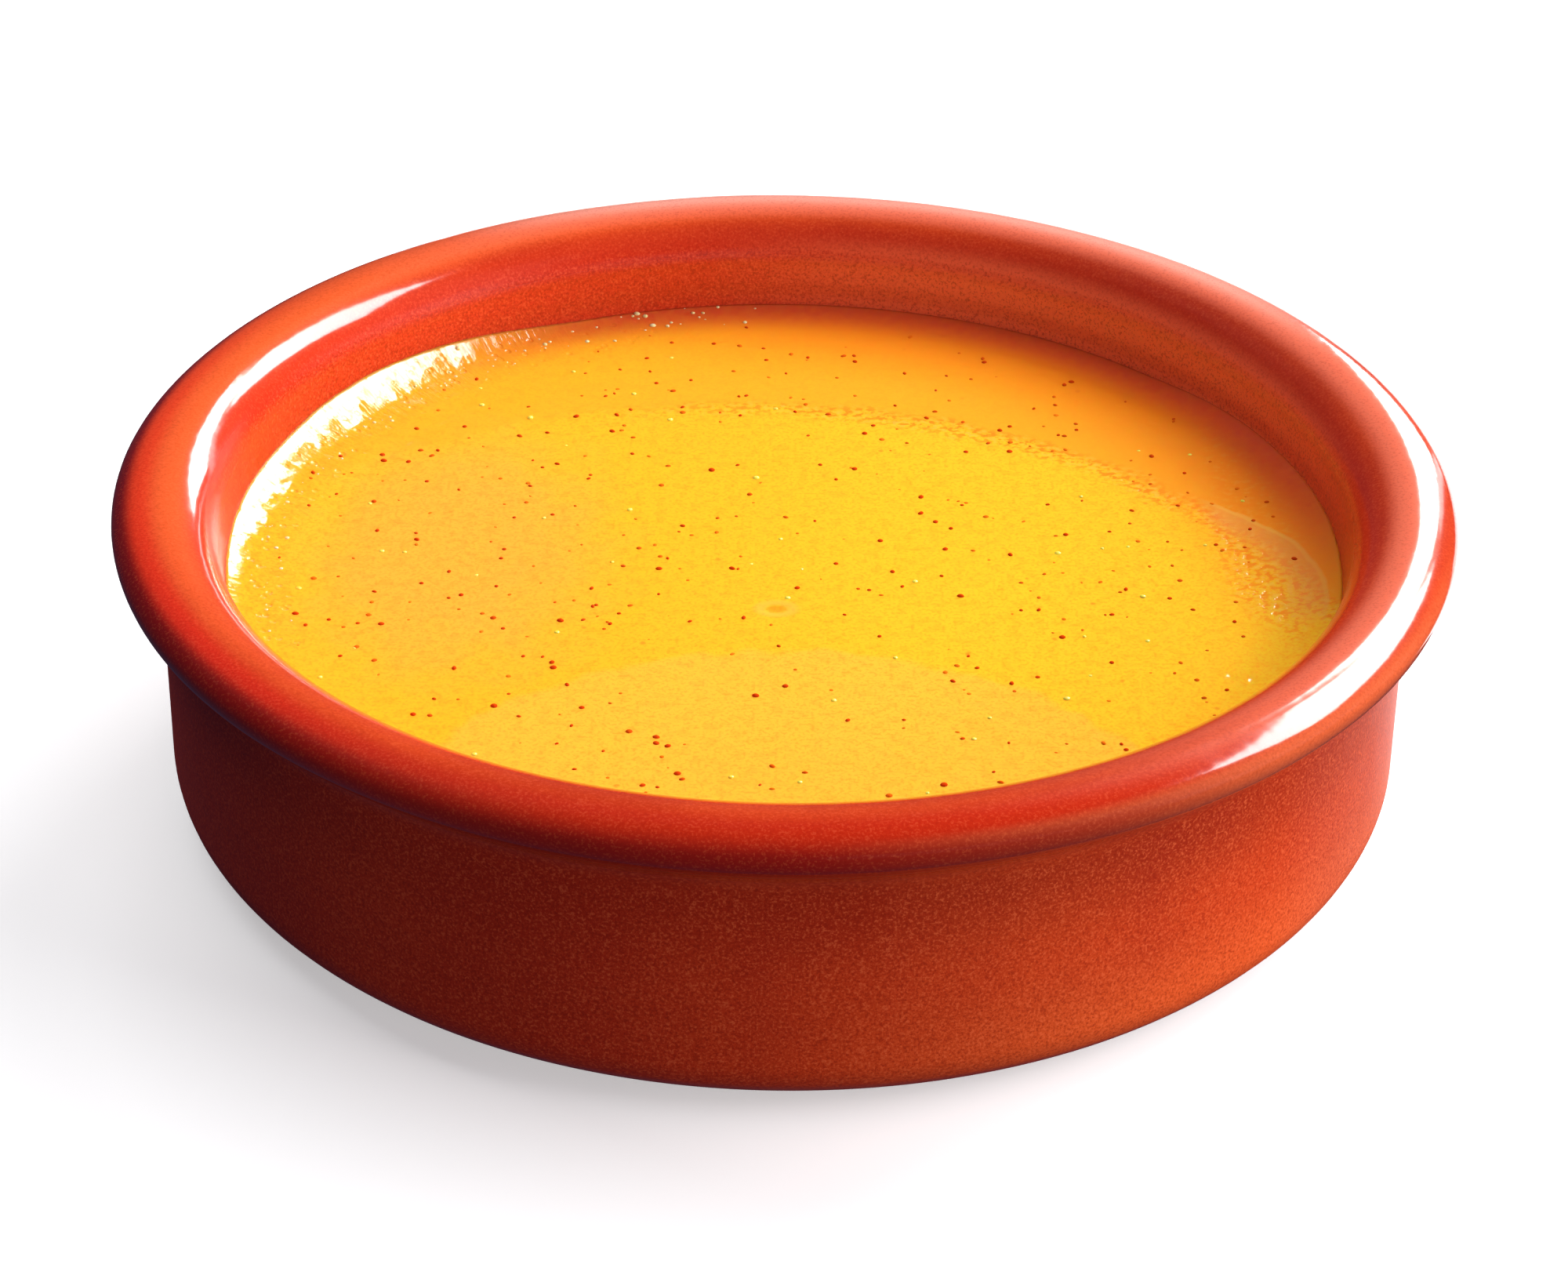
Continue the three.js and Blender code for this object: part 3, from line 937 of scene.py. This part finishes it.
# %% Scatter the seeds and the bubbles
EVERY_WAY = -2.0  # a cosine limit that every direction passes
FOAM_WAY = (-0.37, 0.93, 0.0)
seed_plan = {
    "Per Square Metre": 0.066 / MM**2, "Nearest": -3 * MM, "Farthest": 47 * MM,
    "Facing": FOAM_WAY, "Facing Limit": EVERY_WAY,
    "Smallest": 0.21 * MM, "Largest": 0.35 * MM, "Narrowest": 0.6, "Flatness": 0.55,
    "Sink": 0.10 * MM, "Seed": 11, "Material": SEED,
}
bubble_plan = {
    "Per Square Metre": 0.30 / MM**2, "Nearest": 46 * MM, "Farthest": 50.6 * MM,
    "Facing": FOAM_WAY, "Facing Limit": 0.85,
    "Smallest": 0.12 * MM, "Largest": 0.36 * MM, "Narrowest": 0.85, "Flatness": 0.5,
    "Sink": 0.06 * MM, "Seed": 5, "Material": BUBBLE,
}
bead_plan = {
    **bubble_plan, "Per Square Metre": 0.42 / MM**2, "Nearest": 44.5 * MM, "Farthest": 48.5 * MM,
    "Facing": LEFT_WAY, "Facing Limit": 0.7, "Smallest": 0.08 * MM, "Largest": 0.24 * MM, "Seed": 9,
}
speck_plan = {
    **bubble_plan, "Per Square Metre": 0.007 / MM**2, "Nearest": -3 * MM, "Farthest": 46 * MM,
    "Facing Limit": EVERY_WAY, "Smallest": 0.20 * MM, "Largest": 0.36 * MM, "Seed": 21, "Material": DROP,
}


def scattered(name, plan):
    """Makes one piece of many small bodies that lie on the custard."""
    skin = link(bpy.data.objects.new("skin", custard.data.copy()))
    piece = face_out(plain_mesh(name, skin, [(SCATTER, {"Level": LEVEL, **plan})]))
    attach(piece, "root")


scattered("vanilla_seeds", seed_plan)
scattered("cream_bubbles", bubble_plan)
scattered("cream_beads", bead_plan)
scattered("cream_specks", speck_plan)

# %% [markdown]
# ## The table and the light
#
# The dish stands on a plain pale floor, which glows a little and sends no light back to it. Soft cards stand
# round the dish, the brightest ones on the right and behind it on the right, so its outside runs from dark on
# the left to bright on the right. Glossy glaze shows the shapes of lights, so the bright streaks come from
# windows of their own, behind on the right, and from a dim glow lower down. Those shine only in reflections,
# and the soft cards stay out of them. This is how a product photographer uses cards.


# %% Floor and lights
CARD_DISTANCE = 1.0
FLOOR_HALF = 3.0
FLOOR_GREY = (0.90, 0.90, 0.90)
FLOOR_PALE = (0.93, 0.93, 0.93)
AIR_PALE = (0.93, 0.93, 0.93, 1.0)
AIR_DIM = (0.8, 0.5, 1.0, 1.0)


def floor():
    """A large pale floor that the dish stands on."""
    mesh = bpy.data.meshes.new("floor")
    corners = [(x * FLOOR_HALF, y * FLOOR_HALF, 0) for x, y in ((-1, -1), (1, -1), (1, 1), (-1, 1))]
    mesh.from_pydata(corners, [], [(0, 1, 2, 3)])
    piece = link(bpy.data.objects.new("floor", mesh))
    material, net = material_net("pale_floor")
    place = net.add("ShaderNodeTexCoord").output("Object")
    colour = net.blend(net.noise(place, 200 * MM), FLOOR_GREY, FLOOR_PALE)
    end_material(net, {
        "Base Color": colour,
        "Roughness": 0.9,
        "Specular IOR Level": 0.1,
        "Emission Color": colour,
        "Emission Strength": 0.45,
    })
    mesh.materials.append(material)
    piece.visible_diffuse = False
    piece.visible_glossy = False


def direction(azimuth, elevation):
    """A unit vector. Azimuth 0 is +X and 90 is +Y. Elevation is above the table. Both are in degrees."""
    a, e = math.radians(azimuth), math.radians(elevation)
    return Vector((math.cos(a) * math.cos(e), math.sin(a) * math.cos(e), math.sin(e)))


def card(name, azimuth, elevation, size, radiance, turn=0, soft=True, shine=True):
    """A rectangular light that faces the dish. soft lights surfaces, and shine shows in reflections."""
    data = bpy.data.lights.new(name, "AREA")
    data.shape = "RECTANGLE"
    data.size, data.size_y = size
    data.energy = radiance * math.pi * size[0] * size[1]
    lamp = link(bpy.data.objects.new(name, data))
    lamp.location = direction(azimuth, elevation) * CARD_DISTANCE
    facing = lamp.location.to_track_quat("Z", "Y").to_matrix()
    lamp.rotation_euler = (facing @ Matrix.Rotation(math.radians(turn), 3, "Z")).to_euler()
    lamp.visible_camera = False
    lamp.visible_diffuse = soft
    lamp.visible_glossy = shine


floor()
card("window_low", azimuth=67, elevation=24.5, size=(0.195, 0.50), radiance=12.0, soft=False)
card("window_high", azimuth=42, elevation=43.5, size=(0.62, 0.30), radiance=12.0, turn=-22, soft=False)
card("window_edge", azimuth=59.3, elevation=14, size=(0.05, 0.36), radiance=2.5, soft=False)
card("table_glow", azimuth=72, elevation=-16, size=(1.1, 0.56), radiance=2.1, soft=False)
card("key", azimuth=53, elevation=38, size=(0.80, 0.50), radiance=7.5, shine=False)
card("right_low", azimuth=-2, elevation=12, size=(1.10, 0.40), radiance=7.8, shine=False)
card("front_low", azimuth=-65, elevation=12, size=(0.70, 0.40), radiance=3.8, shine=False)
card("right_high", azimuth=-5, elevation=38, size=(0.90, 0.40), radiance=4.9, shine=False)
card("back_low", azimuth=72, elevation=12, size=(0.80, 0.40), radiance=4.8, shine=False)
card("back_left", azimuth=128, elevation=50, size=(0.80, 0.60), radiance=3.4, shine=False)

# %% [markdown]
# The air is pale where the camera looks into it. For everything else it is nearly dark, so that the cards
# alone shape the dish.

# %% The air round the table
def air():
    """A pale surround for the camera, dim for everything else, so that the cards shape the light."""
    world = bpy.data.worlds.new("air")
    world.use_nodes = True
    world.node_tree.nodes.clear()
    net = Net(world.node_tree)
    seen = net.add("ShaderNodeLightPath").output("Is Camera Ray")
    dim = net.add("ShaderNodeBackground", {}, {"Color": AIR_DIM, "Strength": 0.045})
    pale = net.add("ShaderNodeBackground", {}, {"Color": AIR_PALE, "Strength": 1.0})
    both = net.add("ShaderNodeMixShader", {}, {0: seen, 1: dim, 2: pale})
    net.add("ShaderNodeOutputWorld", {}, {"Surface": both})
    bpy.context.scene.world = world


air()
bpy.context.scene.view_settings.view_transform = "Standard"
print("world:", bpy.context.scene.world.name)

# %% [markdown]
# ## The camera
#
# The camera looks down at the dish from the front. It stands 38 cm away with a long lens, so the far side of
# the rim is only a little smaller than the near side, and it is rolled by less than a degree.

# %% Camera
LOOK_DOWN = math.radians(31.15)
ROLL = math.radians(0.73)
DISTANCE = 380 * MM
AIM = Vector((0.03 * MM, 0, 12.6 * MM))
PICTURE_WIDTH = 2000
SENSOR_WIDTH = 36
PIXELS_PER_MM = 13.91  # at the aim


def camera():
    """Puts the camera on its line of sight through the aim."""
    data = bpy.data.cameras.new("camera")
    data.sensor_width = SENSOR_WIDTH
    data.lens = PIXELS_PER_MM * (DISTANCE / MM) / PICTURE_WIDTH * SENSOR_WIDTH
    data.clip_start, data.clip_end = 0.01, 20
    forward = Vector((0, math.cos(LOOK_DOWN), -math.sin(LOOK_DOWN)))
    right = Vector((1, 0, 0))
    up = right.cross(forward)
    level_right = right * math.cos(ROLL) + up * math.sin(ROLL)
    level_up = up * math.cos(ROLL) - right * math.sin(ROLL)
    turn = Matrix((level_right, level_up, -forward)).transposed().to_4x4()
    eye = link(bpy.data.objects.new("camera", data))
    eye.matrix_world = Matrix.Translation(AIM - forward * DISTANCE) @ turn
    bpy.context.scene.camera = eye
    print("lens", round(data.lens, 1), "mm")


camera()
